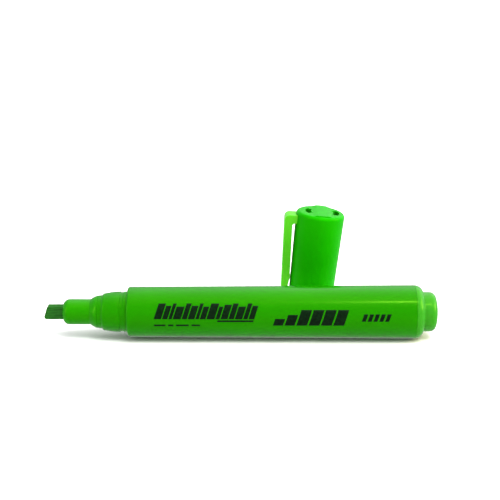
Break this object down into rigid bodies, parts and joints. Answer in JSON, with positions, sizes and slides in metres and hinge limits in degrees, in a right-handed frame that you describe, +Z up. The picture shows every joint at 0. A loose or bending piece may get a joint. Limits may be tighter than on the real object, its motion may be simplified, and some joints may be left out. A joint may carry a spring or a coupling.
{
  "type": "capped highlighter pen",
  "caption": "Chisel-nib highlighter lying on its side, with its clip-on vented cap off and standing behind it on its rim and clip tip.",
  "frame": {"origin": "bottom centre of the whole set on the table, half way between the pen's front side and the cap's back side", "axes": "+X along the pen from its nib to its tail, +Y from the pen towards the standing cap, +Z up"},
  "size_m": [0.12, 0.045, 0.0326],
  "materials": {
    "barrel_plastic": "glossy translucent neon green polypropylene",
    "holder_plastic": "glossy neon green polypropylene, a little paler than the barrel",
    "felt": "stiff felt soaked with dark green ink",
    "fibre": "ink-soaked bonded fibre",
    "film": "thin clear film",
    "plug_plastic": "glossy neon green polypropylene",
    "cap_plastic": "glossy translucent neon green polypropylene",
    "liner_plastic": "soft satin polyethylene"
  },
  "bodies": {
    "pen": {"barrel": "barrel_plastic", "nib_holder": "holder_plastic", "nib": "felt", "reservoir_core": "fibre", "reservoir_film": "film", "tail_plug": "plug_plastic"},
    "cap": {"cap_shell": "cap_plastic", "inner_cap": "liner_plastic"},
    "clip": {"cap_clip": "cap_plastic"}
  },
  "joints": [
    {"name": "cap_off", "type": "slide", "parent": "pen", "child": "cap", "axis": [0.1011, 0, 0.9949], "range_m": [0, 0.045]},
    {"name": "clip_flex", "type": "hinge", "parent": "cap", "child": "clip", "pos_m": [0.01517, 0.01465, 0.02918], "axis": [0, 1, 0], "range_deg": [0, 5], "stiffness_Nm_per_rad": 0.6}
  ]
}
